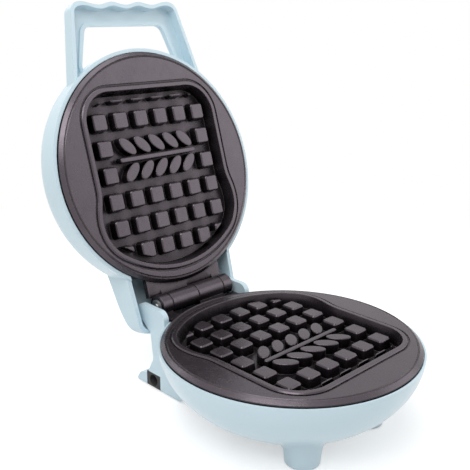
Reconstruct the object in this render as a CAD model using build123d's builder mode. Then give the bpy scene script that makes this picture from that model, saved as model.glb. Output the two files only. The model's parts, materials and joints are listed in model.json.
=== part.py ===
from build123d import *
import math
import os

# Mini waffle maker, lid open, in millimetres.
# +Z is up, X runs along the hinge and +Y points from the plates towards the hinge.
# The origin lies on the table, at the middle of the box that the open maker fills.

# Plates: heights are taken from a plane a little under each plate's flat land
plate_radius = 61.0
land_rise = 0.5
edge_slope_width = 1.9
edge_slope_drop = 1.0
ring_groove_width = 1.1
ring_groove_depth = 0.45
joining = 1.0
flange_thickness = 2.6
flange_gap = 0.3
plate_web = 3.0
skirt_inset = 3.4
skirt_width = 2.4
skirt_depth = 8.5

# Bread-slice well in each plate
well_depth = 5.9
well_floor = 4.6
well_draft = 1.6
well_wall = 2.6
well_side_inset = 19.5
well_bulge = 2.8
well_front_inset = 19.3
well_rear_inset = 9.4
well_waist_y = 5.0
well_bulge_y = 23.0
well_corner = 16.0
well_shoulder = 21.0
bead_width = 2.4
bead_rise = 0.6
bead_slope = 0.6
groove_width = 1.0
groove_depth = 0.6

# Grid of bosses in the well
boss_columns = 6
boss_rows = 7
boss_pitch_x = 12.87
boss_pitch_y = 13.5
boss_length_x = 9.4
boss_length_y = 9.7
boss_drop = 0.9
boss_draft = 8.0
boss_corner = 2.0
boss_round = 0.6
boss_bevel = 42.0
boss_to_wall = 4.3

# Wheat-ear relief that takes the place of the bosses in the middle rows
ear_columns = 2
ear_y = -6.75
ear_half_length = 23.5
stem_width = 2.4
stem_overhang = 3.0
grain_count = 5
grain_length = 12.0
grain_width = 5.8
grain_tilt = 45.0
grain_gap = 0.8
ear_round = 0.5

# Hinge
hinge_clearance = 8.5
hinge_height = 1.5
plate_gap = 3.5
open_angle = 107.4
knuckle_radius = 5.6
knuckle_short = 6.0
knuckle_long = 17.1
knuckle_gap = 0.6
knuckle_clearance = 0.6
pin_radius = 2.0
pin_clearance = 0.05
pin_overhang = 1.6
clip_radius = 3.6
clip_thickness = 0.8
tongue_half_width = 25.0
tongue_drop = 2.0
tongue_thickness = 3.0
tongue_root = 5.6
tongue_gap = 4.3

# Base shell
rim_height = 42.0
shell_lip = 1.0
shell_drop = 1.9
wall = 2.4
bowl_depth = 42.0
bowl_bottom = 37.5
foot_x = 23.5
foot_y = -28.9
foot_fillet = 3.4
foot_end_radius = 8.0
neck_half_width = 30.0
neck_top = 8.0
neck_front = 40.0
neck_cavity_front = 34.0
neck_top_inset = 0.6
neck_foot_inset = 2.9
cheek_thickness = 3.0
cheek_top = 3.0
cheek_reach_front = 12.5
cheek_reach_back = 9.7
cheek_drop = 3.0
cheek_corner = 4.6
cheek_heel = 1.5
cheek_root_drop = 2.2
cheek_root_length = 4.0
neck_foot_drop = 25.0
neck_edge_round = 1.0
heel_front = 46.0
heel_back = 81.0
heel_height = 6.8
heel_step = 5.0
heel_fall = 1.6
heel_fillet = 4.0
heel_round = 3.0
sole_round = 0.8
foot_draft = 6.0
pad_gap = 0.1
stop_rib_x = 17.0
stop_rib_width = 3.0
stop_rib_rise = 0.7
stop_rib_drop = 11.0
stop_rib_root = 1.0
stop_rib_taper = 2.1

# Cord inlet in the heel's left side
inlet_y = 66.8
inlet_width = 11.0
inlet_height = 8.0
gland_depth = 10.0
gland_clearance = 0.15
cord_bore_radius = 3.1

# Rubber pads
pad_radius = 5.6
pad_depth = 3.0
pad_proud = 0.6
heel_pad_x = 14.5
heel_pad_y = 73.5
heel_pad_radius = 4.2
heel_pad_depth = 1.6

# Lid shell
lid_lip = 1.8
lid_height = 27.5
lid_draft = 1.6
crown_rise = 3.0
shoulder_radius = 13.5
lid_wall = 2.2
rim_gap = 0.4
tail_half_width = 36.0
tail_taper = 1.8
tail_front = 46.0
tail_reach_back = 13.0
tail_corner = 6.0
tail_edge_rise = 1.5
tail_end_rise = 8.0
tail_mid_rise = 13.0
tail_top_rise = 18.0
tail_end_run = 3.2
tail_mid_run = 12.0
hook_angles = [210.0, 240.0, 300.0, 330.0]
hook_width = 8.0
hook_reach = 1.4
hook_thickness = 1.8

# Handle, an open loop in front of the lid, and how far it and the tail lie above the lid's plane
back_lift = 2.5
handle_reach = 86.2
handle_half_width = 33.5
handle_root_half_width = 42.5
handle_root_y = 40.0
handle_tip_height = 7.2
handle_slope = 2.0
handle_wall = 2.0
handle_corner = 6.0
handle_round = 1.6
scallop_count = 4
scallop_rise = 1.5
handle_margin = 1.0
finger_top = 76.8
finger_half_width = 24.7
finger_root_half_width = 30.7
finger_root_y = 57.0
finger_corner = 5.0
finger_rim_rise = 0.8

# Screws that hold each shell to its plate
post_radius = 3.2
post_end = 18.0
post_spots = [(foot_x, foot_y), (-foot_x, foot_y), (25.0, 36.0), (-25.0, 36.0)]
shell_post_radius = 5.4
seat_depth = 23.2
screw_radius = 1.5
screw_hole_radius = 1.55
screw_hole_gap = 0.05
screw_tip_gap = 0.2
slot_width = 0.6
slot_share = 1.3
screw_head_radius = 3.0
screw_head_height = 1.9
counterbore_radius = 3.5
thread_length = 8.0

# Heater, reflector and what holds them
heater_radius = 30.6
heater_tube_radius = 3.2
heater_gap_angle = 50.0
terminal_radius = 1.3
terminal_length = 6.0
seat_gap = 0.1
reflector_thickness = 0.6
reflector_gap = 2.8
reflector_flare = 4.4
reflector_rim_rise = 5.4
reflector_centre_hole = 10.0
reflector_hole_gap = 0.4
lead_notch_start = 36.0
lead_notch_width = 16.0
strap_angles = [205.0, 270.0, 335.0]
strap_width = 8.0
strap_thickness = 0.9
strap_inner = 19.8
strap_outer = 35.0
lug_radius = 3.0
lug_ring_radius = 23.6
small_screw_radius = 1.2
small_screw_head_radius = 2.3
small_screw_head_height = 1.2
small_thread_length = 4.1

# Thermostat on the lower plate
thermostat_radius = 7.6
thermostat_cap_radius = 8.2
thermostat_cap_height = 3.4
thermostat_height = 9.0
thermostat_lug_x = 13.0
bracket_length = 32.0
bracket_width = 7.0
bracket_thickness = 0.8
blade_width = 4.8
blade_thickness = 0.8
blade_length = 6.0
blade_spacing = 7.0

# Terminal block in the neck
block_length = 24.0
block_depth = 11.0
block_height = 9.0
block_y = 57.0
block_drop = 24.0
block_bore_radius = 1.7
block_pitch = 10.0
cradle_wall = 1.5
cradle_rise = 4.0

# Leads
lead_radius = 1.1
lead_bend = 2.4
lead_row_y = 40.0
lead_end_y = 68.0
lead_exit_drop = 8.0
lead_straight = 3.5
lead_slant = 6.0
lead_aside = 0.8

# Thermal fuse, lamp and lens in the lid
fuse_radius = 2.0
fuse_length = 12.0
fuse_y = 12.0
fuse_strap_width = 6.0
fuse_lug_y = 18.5
lens_y = -38.0
lens_radius = 2.8
lens_flange_radius = 3.9
lens_flange_thickness = 0.8
lens_proud = 0.7
lens_boss_radius = 6.0
lens_boss_rise = 0.8
lamp_radius = 1.5
lamp_length = 9.0
holder_half_depth = 4.6
holder_height = 4.2

# Sizes that follow from those above
casting_depth = well_depth + well_floor
groove_outer = plate_radius - edge_slope_width
groove_inner = groove_outer - ring_groove_width
groove_floor = land_rise - ring_groove_depth
bead_top = land_rise + bead_rise
skirt_radius = plate_radius - skirt_inset
shell_radius = plate_radius + rim_gap + shell_lip
lid_radius = plate_radius + rim_gap + lid_lip
well_half_width = plate_radius - well_side_inset
well_front = plate_radius - well_front_inset
well_rear = plate_radius - well_rear_inset
hinge_back = plate_radius + hinge_clearance
tongue_front = plate_radius - tongue_root
tongue_back = hinge_back - tongue_gap
neck_back_top = hinge_back - neck_top_inset
neck_back_foot = hinge_back - neck_foot_inset
cheek_front = hinge_back - cheek_reach_front
cheek_back = hinge_back + cheek_reach_back
tail_back = hinge_back + tail_reach_back
reflector_rim_radius = skirt_radius - skirt_width - reflector_gap
reflector_radius = reflector_rim_radius - reflector_flare
rebate_depth = flange_thickness + flange_gap
hinge_rise_lower = hinge_height
hinge_rise_upper = plate_gap - hinge_height
boss_height = well_depth - boss_drop
knuckle_half_span = knuckle_short + knuckle_long + 1.5 * knuckle_gap
heater_drop = casting_depth + heater_tube_radius + seat_gap
heater_start = 90 + heater_gap_angle / 2
heater_end = 90 - heater_gap_angle / 2
strap_top = heater_drop + heater_tube_radius
reflector_bottom = post_end + reflector_thickness
bracket_top = casting_depth + thermostat_cap_height
fuse_drop = casting_depth + fuse_radius
fuse_strap_top = casting_depth + 2 * fuse_radius
table_drop = rim_height
sole_drop = table_drop - pad_proud
lens_top = lid_height - crown_rise * (lens_y / lid_radius) ** 2 + lens_proud
lens_seat = lens_top - lens_proud - lid_wall - lens_boss_rise
lamp_rise = lens_seat - lens_flange_thickness - lamp_radius - pad_gap


def swung(y, z):
    """Where a point of the closed lid lies when the lid is open, from the plate's centre and plane."""
    turn = math.radians(-open_angle)
    along, up = y - hinge_back, z - hinge_height
    return (
        hinge_back + along * math.cos(turn) - up * math.sin(turn),
        hinge_height + along * math.sin(turn) + up * math.cos(turn),
    )


# The open lid's rounded shoulder reaches furthest back, and the base shell's rim furthest forward
shoulder_out = lid_radius - lid_draft / 2 - shoulder_radius
shoulder_up = lid_height - crown_rise * (shoulder_out / lid_radius) ** 2 - shoulder_radius
back_reach = swung(-shoulder_out, plate_gap + shoulder_up)[0] + shoulder_radius
plate_y = (shell_radius - back_reach) / 2

hinge_axis = Location((0, plate_y + hinge_back, rim_height + hinge_height))
swing_open = hinge_axis * Location((0, 0, 0), (-open_angle, 0, 0)) * hinge_axis.inverse()

# The lid's pieces are drawn closed, and swung open at the end.
# Each plate's face looks along its plane's +Z, and +Y runs to the hinge.
lower_face = Plane((0, plate_y, rim_height))
lid_plane = Plane((0, plate_y, rim_height + plate_gap))
back_plane = lid_plane.offset(back_lift)
upper_face = Plane(lid_plane.origin, x_dir=-lid_plane.x_dir, z_dir=-lid_plane.z_dir)


def radial_plane(face, angle):
    """The upright plane through a face's centre, with X outwards at an angle and Y along the normal."""
    turn = math.radians(angle)
    outwards = face.x_dir * math.cos(turn) + face.y_dir * math.sin(turn)
    return Plane(face.origin, x_dir=outwards, z_dir=outwards.cross(face.z_dir))


def section_plane(face):
    """The upright plane across a face's centre."""
    return radial_plane(face, 0)


def side_plane(face):
    """The upright plane through a face's centre, with X towards the hinge and Y along the normal."""
    return Plane(face.origin, x_dir=face.y_dir, z_dir=face.x_dir)


def turning_axis(face):
    return Axis(face.origin, face.z_dir)


def slice_outline(inset):
    """The bread slice's outline, drawn in by inset: flat front end, a waist and a rounded rear end."""
    swell = (well_bulge**2 + (well_bulge_y - well_waist_y) ** 2) / (4 * well_bulge)
    swell_turn = math.degrees(math.asin((well_bulge_y - well_waist_y) / (2 * swell)))
    bulge = well_half_width + well_bulge
    shoulder_x = bulge - well_shoulder
    shoulder_rise = well_rear - well_bulge_y - well_shoulder
    crown_drop = (shoulder_x**2 - shoulder_rise**2) / (2 * shoulder_rise)
    crown = well_rear - well_bulge_y + crown_drop
    crown_turn = math.degrees(math.atan2(crown_drop, shoulder_x))
    with BuildSketch() as outline:
        with BuildLine():
            Line((0, -well_front), (well_half_width - well_corner, -well_front))
            CenterArc((well_half_width - well_corner, well_corner - well_front), well_corner, -90, 90)
            Line((well_half_width, well_corner - well_front), (well_half_width, well_waist_y))
            CenterArc((well_half_width + swell, well_waist_y), swell, 180, -swell_turn)
            CenterArc((bulge - swell, well_bulge_y), swell, -swell_turn, swell_turn)
            CenterArc((shoulder_x, well_bulge_y), well_shoulder, 0, crown_turn)
            CenterArc((0, well_bulge_y - crown_drop), crown, crown_turn, 90 - crown_turn)
            mirror(about=Plane.YZ)
        make_face()
        if inset:
            offset(amount=-inset, mode=Mode.REPLACE)
    return outline.sketch


def boss_spots():
    """The middles of the bosses that the wheat ear leaves standing."""
    spots = []
    for column in range(boss_columns):
        for row in range(boss_rows):
            x = (column - (boss_columns - 1) / 2) * boss_pitch_x
            y = (row - (boss_rows - 1) / 2) * boss_pitch_y
            in_ear = abs(x) < ear_columns * boss_pitch_x and abs(y - ear_y) < boss_pitch_y
            if not in_ear:
                spots.append((x, y))
    return spots


def grain_spots():
    """Places and turns of the grains, in pairs along the stem, each leaning away from it."""
    turn = math.radians(grain_tilt)
    half_span = math.hypot(grain_length / 2 * math.sin(turn), grain_width / 2 * math.cos(turn))
    reach = stem_width / 2 + grain_gap + half_span
    step = 2 * ear_half_length / grain_count
    spots = []
    for pair in range(grain_count):
        x = -ear_half_length + (pair + 0.5) * step
        for side in (1, -1):
            spots.append(Location((x, ear_y + side * reach), side * grain_tilt))
    return spots


def knuckle_starts(own):
    """Where a plate's short and long knuckles start on the hinge line; the other plate's fill the rest."""
    outer_end = knuckle_half_span
    if own:
        return [(-outer_end, knuckle_short), (knuckle_gap / 2, knuckle_long)]
    return [(-knuckle_gap / 2 - knuckle_long, knuckle_long), (outer_end - knuckle_short, knuckle_short)]


def lug_spots():
    """The middles of the small lugs that carry the heater's straps."""
    turns = [math.radians(angle) for angle in strap_angles]
    return [(lug_ring_radius * math.cos(turn), lug_ring_radius * math.sin(turn)) for turn in turns]


def griddle(face, hinge_rise, extra_lugs, extra_lug_end):
    """One cast plate with its well, bosses, wheat ear, posts, lugs, tongue and hinge knuckles."""
    floor = face.offset(-well_depth)
    side = side_plane(face)
    round_start = boss_height - boss_round
    shrink = round_start * math.tan(math.radians(boss_draft))

    with BuildPart() as relief:
        with BuildSketch(floor):
            with Locations(*boss_spots()):
                RectangleRounded(boss_length_x, boss_length_y, boss_corner)
        extrude(amount=round_start, taper=boss_draft)
        with BuildSketch(floor.offset(round_start)):
            with Locations(*boss_spots()):
                RectangleRounded(
                    boss_length_x - 2 * shrink, boss_length_y - 2 * shrink, boss_corner - shrink
                )
        extrude(amount=boss_round, taper=boss_bevel)
        with BuildSketch(floor):
            add(slice_outline(boss_to_wall))
        extrude(amount=well_depth, mode=Mode.INTERSECT)

    with BuildPart() as ear:
        with BuildSketch(floor):
            with Locations((0, ear_y)):
                SlotOverall(2 * ear_half_length + stem_overhang, stem_width)
            with Locations(*grain_spots()):
                Ellipse(grain_length / 2, grain_width / 2)
        extrude(amount=boss_height)
        tops = ear.faces().filter_by(lambda f: abs(face.to_local_coords(f.center()).Z + boss_drop) < 0.01)
        fillet(tops.edges(), ear_round)

    with BuildPart() as plate:
        with BuildSketch(section_plane(face)):
            with BuildLine():
                Polyline(
                    (0, land_rise),
                    (groove_inner, land_rise),
                    (groove_inner + ring_groove_depth, groove_floor),
                    (groove_outer - ring_groove_depth, groove_floor),
                    (groove_outer, land_rise),
                    (plate_radius, -edge_slope_drop),
                    (plate_radius, -flange_thickness),
                    (skirt_radius, -flange_thickness),
                    (skirt_radius, -skirt_depth),
                    (skirt_radius - skirt_width, -skirt_depth),
                    (skirt_radius - skirt_width, land_rise - plate_web),
                    (0, land_rise - plate_web),
                    close=True,
                )
            make_face()
        revolve(axis=turning_axis(face))

        with BuildSketch(face.offset(land_rise)):
            add(slice_outline(-bead_width - groove_width))
            add(slice_outline(-bead_width), mode=Mode.SUBTRACT)
        extrude(amount=-groove_depth, mode=Mode.SUBTRACT)
        with BuildSketch(face.offset(-casting_depth)):
            add(slice_outline(-well_wall))
            Circle(skirt_radius - skirt_width / 2, mode=Mode.INTERSECT)
        extrude(amount=casting_depth + land_rise - plate_web / 2)
        with BuildSketch(face.offset(land_rise)):
            add(slice_outline(-bead_width))
        with BuildSketch(face.offset(bead_top)):
            add(slice_outline(bead_slope - bead_width))
        loft()
        with BuildSketch(floor):
            add(slice_outline(well_draft))
        with BuildSketch(face.offset(bead_top)):
            add(slice_outline(0))
        loft(mode=Mode.SUBTRACT)

        with BuildSketch(face.offset(-casting_depth + joining)):
            with Locations(*post_spots):
                Circle(post_radius)
        extrude(amount=casting_depth - joining - post_end)
        with BuildSketch(face.offset(-casting_depth + joining)):
            with Locations(*lug_spots()):
                Circle(lug_radius)
        extrude(amount=casting_depth - joining - strap_top)
        with BuildSketch(face.offset(-casting_depth + joining)):
            with Locations(*extra_lugs):
                Circle(lug_radius)
        extrude(amount=casting_depth - joining - extra_lug_end)
        with BuildSketch(face.offset(-post_end)):
            with Locations(*post_spots):
                Circle(screw_hole_radius)
        extrude(amount=thread_length + screw_tip_gap, mode=Mode.SUBTRACT)
        with BuildSketch(face.offset(-strap_top)):
            with Locations(*lug_spots()):
                Circle(small_screw_radius + screw_hole_gap)
        extrude(amount=small_thread_length + screw_tip_gap, mode=Mode.SUBTRACT)
        with BuildSketch(face.offset(-extra_lug_end)):
            with Locations(*extra_lugs):
                Circle(small_screw_radius + screw_hole_gap)
        extrude(amount=small_thread_length + screw_tip_gap, mode=Mode.SUBTRACT)

        with BuildSketch(face.offset(-tongue_drop)):
            with Locations((0, (tongue_front + tongue_back) / 2)):
                Rectangle(2 * tongue_half_width, tongue_back - tongue_front)
        extrude(amount=-tongue_thickness)
        for start, length in knuckle_starts(own=True):
            with BuildSketch(side.offset(start)):
                with Locations((hinge_back, hinge_rise)):
                    Circle(knuckle_radius)
                with BuildLine():
                    Polyline(
                        (tongue_back - tongue_thickness, -tongue_drop),
                        (tongue_back - tongue_thickness, -tongue_drop - tongue_thickness),
                        (hinge_back, -tongue_drop - tongue_thickness),
                        (hinge_back + knuckle_radius, hinge_rise),
                        (hinge_back, hinge_rise),
                        close=True,
                    )
                make_face()
            extrude(amount=length)
        for start, length in knuckle_starts(own=False):
            with BuildSketch(side.offset(start - knuckle_gap)):
                with Locations((hinge_back, hinge_rise)):
                    Circle(knuckle_radius + knuckle_clearance)
            extrude(amount=length + 2 * knuckle_gap, mode=Mode.SUBTRACT)
        with BuildSketch(side):
            with Locations((hinge_back, hinge_rise)):
                Circle(pin_radius + pin_clearance)
        extrude(amount=2 * knuckle_half_span, both=True, mode=Mode.SUBTRACT)

        add(relief.part)
        add(ear.part)
    return plate


def screws(face, spots, seat, shank_radius, head_radius, head_height, reach):
    """A group of pan-head screws: heads below the seat, shanks reaching up towards the face."""
    with BuildPart() as group:
        with BuildSketch(face.offset(-seat)):
            with Locations(*spots):
                Circle(head_radius)
        extrude(amount=-head_height)
        rims = group.edges().filter_by(
            lambda e: abs(face.to_local_coords(e.center()).Z + seat + head_height) < 0.01
        )
        fillet(rims, head_height / 3)
        with BuildSketch(face.offset(-seat)):
            with Locations(*spots):
                Circle(shank_radius)
        extrude(amount=reach)
        with BuildSketch(face.offset(-seat - head_height)):
            with Locations(*spots):
                Rectangle(slot_share * head_radius, slot_width)
                Rectangle(slot_width, slot_share * head_radius)
        extrude(amount=head_height / 2, mode=Mode.SUBTRACT)
    return group


def heater_ring(face):
    """The tubular heater: an open ring with a thin terminal pin at each end."""
    with BuildPart() as heater:
        for angle, share in ((heater_start, 1), (heater_end, -1)):
            with BuildSketch(radial_plane(face, angle)):
                with Locations((heater_radius, -heater_drop)):
                    Circle(terminal_radius)
            extrude(amount=share * terminal_length)
        with BuildSketch(radial_plane(face, heater_start)):
            with Locations((heater_radius, -heater_drop)):
                Circle(heater_tube_radius)
        revolve(axis=turning_axis(face), revolution_arc=360 - heater_gap_angle)
    return heater


def pin_tip(side, further=0.0):
    """The end of one heater pin, or a point further along its line, from the face's centre."""
    turn = math.radians(heater_gap_angle / 2)
    along = terminal_length + further
    x = heater_radius * math.sin(turn) - along * math.cos(turn)
    y = heater_radius * math.cos(turn) + along * math.sin(turn)
    return (side * x, y, -heater_drop)


def heater_straps(face):
    """Flat straps that press the heater against the plate, each on its own lug."""
    middle = (strap_inner + strap_outer) / 2
    with BuildPart() as straps:
        for angle in strap_angles:
            turn = math.radians(angle)
            spot = Location((middle * math.cos(turn), middle * math.sin(turn), 0), (0, 0, angle))
            with BuildSketch(face.offset(-strap_top)):
                with Locations(spot):
                    RectangleRounded(strap_outer - strap_inner, strap_width, strap_width / 4)
            extrude(amount=-strap_thickness)
        with BuildSketch(face.offset(-strap_top)):
            with Locations(*lug_spots()):
                Circle(small_screw_radius + screw_hole_gap)
        extrude(amount=-strap_thickness, mode=Mode.SUBTRACT)
    return straps


def reflector_dish(face, extra_holes):
    """The sheet-metal reflector under a plate, with a raised rim and a notch for the leads."""
    with BuildPart() as dish:
        with BuildSketch(section_plane(face)):
            with BuildLine():
                Polyline(
                    (reflector_centre_hole, -post_end),
                    (reflector_radius, -post_end),
                    (reflector_rim_radius, -post_end + reflector_rim_rise),
                    (reflector_rim_radius + reflector_thickness, -post_end + reflector_rim_rise),
                    (reflector_radius + reflector_thickness / 2, -reflector_bottom),
                    (reflector_centre_hole, -reflector_bottom),
                    close=True,
                )
            make_face()
        revolve(axis=turning_axis(face))
        with BuildSketch(face.offset(-reflector_bottom)):
            with Locations(*post_spots):
                Circle(screw_radius + reflector_hole_gap)
            with Locations(*lug_spots(), *extra_holes):
                Circle(small_screw_head_radius + reflector_hole_gap)
        extrude(amount=reflector_thickness, mode=Mode.SUBTRACT)
        with BuildSketch(face.offset(-reflector_bottom)):
            with Locations((0, lead_notch_start + reflector_radius / 2)):
                Rectangle(lead_notch_width, reflector_radius)
        extrude(amount=casting_depth, mode=Mode.SUBTRACT)
    return dish


def run_leads(face, routes):
    """Round leads with tangent bends, one for each route of points from the face's centre."""
    with BuildPart() as leads:
        for route in routes:
            with BuildLine(face) as path:
                FilletPolyline(*route, radius=lead_bend)
            with BuildSketch(Plane(path.line @ 0, z_dir=path.line % 0)):
                Circle(lead_radius)
            sweep(path=path.line)
    return leads


def bowl_section(inset, top_drop):
    """Half the base bowl's section: a flattened ellipse, cut flat at its bottom and its rim."""
    bottom = bowl_bottom - inset
    with BuildSketch() as section:
        Ellipse(shell_radius - inset, bowl_depth - inset)
        with Locations((shell_radius / 2, -(bottom + top_drop) / 2)):
            Rectangle(shell_radius, bottom - top_drop, mode=Mode.INTERSECT)
    return section.sketch


with BuildPart() as base_cavity:
    with BuildSketch(section_plane(lower_face)):
        add(bowl_section(wall, 0))
    revolve(axis=turning_axis(lower_face))
    with BuildSketch(side_plane(lower_face).offset(wall - neck_half_width)):
        with BuildLine():
            Polyline(
                (neck_cavity_front, -neck_top - wall),
                (neck_back_top - wall, -neck_top - wall),
                (neck_back_foot - wall, -neck_foot_drop),
                (neck_back_foot - wall, -sole_drop + wall),
                (heel_front + wall, -sole_drop + wall),
                (neck_cavity_front, -bowl_bottom + 2 * wall),
                close=True,
            )
        make_face()
    extrude(amount=2 * (neck_half_width - wall))
    with BuildSketch(lower_face.offset(-reflector_bottom)):
        with Locations(*post_spots):
            Circle(shell_post_radius)
    extrude(amount=-sole_drop, mode=Mode.SUBTRACT)

with BuildPart() as base_shell:
    with BuildSketch(section_plane(lower_face)):
        add(bowl_section(0, shell_drop))
    revolve(axis=turning_axis(lower_face))
    with BuildSketch(lower_face.offset(-sole_drop)):
        with Locations((foot_x, foot_y), (-foot_x, foot_y)):
            Circle(foot_end_radius)
    extrude(amount=sole_drop - seat_depth, taper=-foot_draft)
    fillet(base_shell.edges().filter_by(GeomType.BSPLINE), foot_fillet)
    with BuildSketch(side_plane(lower_face).offset(-neck_half_width)):
        with BuildLine():
            FilletPolyline(
                (neck_front, -neck_top),
                (neck_back_top, -neck_top),
                (neck_back_foot, -neck_foot_drop),
                (neck_back_foot + heel_step, -sole_drop + heel_height),
                (heel_back - heel_height / 2, -sole_drop + heel_height - heel_fall),
                (heel_back, -sole_drop),
                (heel_front, -sole_drop),
                (neck_front, -bowl_bottom + wall),
                radius=(
                    0, neck_edge_round, heel_fillet, heel_fillet, heel_round, sole_round, sole_round, 0
                ),
                close=True,
            )
        make_face()
    extrude(amount=2 * neck_half_width)

    add(base_cavity.part, mode=Mode.SUBTRACT)
    with BuildSketch(lower_face.offset(-rebate_depth)):
        Circle(plate_radius + rim_gap)
    extrude(amount=rebate_depth, mode=Mode.SUBTRACT)

    for side in (-1, 1):
        cheek_start = side * (neck_half_width - cheek_thickness / 2) - cheek_thickness / 2
        with BuildSketch(side_plane(lower_face).offset(cheek_start)):
            with BuildLine():
                FilletPolyline(
                    (cheek_front, -neck_top),
                    (cheek_front, cheek_top),
                    (cheek_back, cheek_top),
                    (cheek_back, -cheek_drop),
                    (neck_back_top, -neck_top - cheek_root_drop),
                    (neck_back_top - cheek_root_length, -neck_top - cheek_root_drop),
                    radius=(0, cheek_corner, cheek_corner, cheek_heel, 0, 0),
                    close=True,
                )
            make_face()
        extrude(amount=cheek_thickness)

    with BuildSketch(lower_face.offset(-seat_depth)):
        with Locations(*post_spots):
            Circle(counterbore_radius)
    extrude(amount=-sole_drop, mode=Mode.SUBTRACT)
    with BuildSketch(lower_face.offset(-sole_drop)):
        with Locations((foot_x, foot_y), (-foot_x, foot_y)):
            Circle(pad_radius + pad_gap)
    extrude(amount=pad_depth - pad_proud, mode=Mode.SUBTRACT)
    with BuildSketch(lower_face.offset(-seat_depth)):
        with Locations(*post_spots):
            Circle(screw_radius + reflector_hole_gap)
    extrude(amount=seat_depth, mode=Mode.SUBTRACT)
    with BuildSketch(lower_face.offset(-sole_drop)):
        with Locations((heel_pad_x, heel_pad_y), (-heel_pad_x, heel_pad_y)):
            Circle(heel_pad_radius + pad_gap)
    extrude(amount=heel_pad_depth - pad_proud, mode=Mode.SUBTRACT)

    with BuildSketch(lower_face.offset(-neck_top)):
        with Locations((0, tongue_back)):
            Rectangle(2 * (neck_half_width - cheek_thickness), 2 * (tongue_back - tongue_front))
    extrude(amount=neck_top, mode=Mode.SUBTRACT)
    with BuildSketch(side_plane(lower_face).offset(-neck_half_width)):
        with Locations((inlet_y, -sole_drop + inlet_height / 2)):
            Rectangle(inlet_width, inlet_height)
    extrude(amount=gland_depth, mode=Mode.SUBTRACT)

    with BuildSketch(lower_face.offset(-sole_drop + wall / 2)):
        with Locations((0, block_y)):
            Rectangle(block_length + 2 * (cradle_wall + pad_gap), block_depth)
    extrude(amount=sole_drop - wall / 2 - block_drop - block_height / 2 + cradle_rise)
    with BuildSketch(lower_face.offset(-block_drop - block_height / 2)):
        with Locations((0, block_y)):
            Rectangle(block_length + 2 * pad_gap, block_depth)
    extrude(amount=cradle_rise, mode=Mode.SUBTRACT)
    for side in (-1, 1):
        with BuildSketch(side_plane(lower_face).offset(side * stop_rib_x - stop_rib_width / 2)):
            with BuildLine():
                Polyline(
                    (neck_back_top - wall, -neck_top),
                    (neck_back_top, -neck_top),
                    (neck_back_top + stop_rib_rise, -stop_rib_drop),
                    (neck_back_top - stop_rib_root, -stop_rib_drop - stop_rib_taper),
                    (neck_back_top - wall, -stop_rib_drop),
                    close=True,
                )
            make_face()
        extrude(amount=stop_rib_width)


def lid_section(inset, rim_rise):
    """Half the lid's section: a boxy dome with a gently crowned top, from its rim up."""
    across = lid_radius - inset
    top = lid_height - inset
    with BuildSketch() as section:
        with BuildLine():
            Line((0, rim_rise), (across, rim_rise))
            Line((across, rim_rise), (across - lid_draft, top - crown_rise))
            Spline(
                (across - lid_draft, top - crown_rise),
                ((across - lid_draft) / 2, top - crown_rise / 4),
                (0, top),
                tangents=((-1, 2 * crown_rise / across), (-1, 0)),
            )
            Line((0, top), (0, rim_rise))
        make_face()
        shoulder = section.vertices().sort_by_distance((across, 2 * top))[0]
        fillet(shoulder, shoulder_radius - inset)
    return section.sketch


def tail_body(inset, rim_rise):
    """The lid's tail over the hinge, or its inside: a rounded end with a top that falls away."""
    half_front = tail_half_width - inset
    back = tail_back - inset
    with BuildPart() as tail:
        with BuildSketch(back_plane.offset(rim_rise)):
            with BuildLine():
                FilletPolyline(
                    (-half_front, tail_front),
                    (half_front, tail_front),
                    (half_front - tail_taper, back),
                    (-half_front + tail_taper, back),
                    radius=(0, 0, tail_corner - inset, tail_corner - inset),
                    close=True,
                )
            make_face()
        extrude(amount=lid_height)
        with BuildSketch(side_plane(back_plane).offset(-tail_half_width)):
            with BuildLine():
                Line((tail_front, rim_rise), (back, rim_rise))
                Line((back, rim_rise), (back, tail_edge_rise))
                Spline(
                    (back, tail_edge_rise),
                    (back - tail_end_run, tail_end_rise - inset),
                    (back - tail_mid_run, tail_mid_rise - inset),
                    (tail_front, tail_top_rise - inset),
                )
                Line((tail_front, tail_top_rise - inset), (tail_front, rim_rise))
            make_face()
        extrude(amount=2 * tail_half_width, mode=Mode.INTERSECT)
    return tail.part


def handle_edge_half_width(y, inset):
    """Half the handle's width at a distance in front of the plate's centre."""
    share = (-y - handle_root_y) / (handle_reach - handle_root_y)
    return handle_root_half_width + (handle_half_width - handle_root_half_width) * share - inset


def handle_outline(inset):
    """The handle seen square to the plate: sides that draw in and a scalloped front edge."""
    front = -handle_reach + inset
    half_tip = handle_edge_half_width(front, inset)
    half_root = handle_edge_half_width(-handle_root_y, inset)
    waves = 2 * scallop_count
    step = 2 * half_tip / waves
    edge = [
        (half_tip - n * step, front - (scallop_rise if n % 2 else 0)) for n in range(1, waves)
    ]
    with BuildSketch() as outline:
        with BuildLine():
            Spline((half_tip, front), *edge, (-half_tip, front))
            Line((-half_tip, front), (-half_root, -handle_root_y))
            Line((-half_root, -handle_root_y), (half_root, -handle_root_y))
            Line((half_root, -handle_root_y), (half_tip, front))
        make_face()
        tips = outline.vertices().group_by(Axis.Y)[0]
        fillet(tips, handle_corner - inset)
    return outline.sketch


def finger_outline(grow):
    """The finger hole's outline, open towards the dome, drawn outwards by grow."""
    with BuildSketch() as outline:
        with BuildLine():
            FilletPolyline(
                (-finger_half_width - grow, -finger_top - grow),
                (finger_half_width + grow, -finger_top - grow),
                (finger_root_half_width + grow, -finger_root_y),
                (finger_root_half_width + grow, -handle_root_y),
                (-finger_root_half_width - grow, -handle_root_y),
                (-finger_root_half_width - grow, -finger_root_y),
                radius=(finger_corner + grow, finger_corner + grow, 0, 0, 0, 0),
                close=True,
            )
        make_face()
    return outline.sketch


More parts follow.
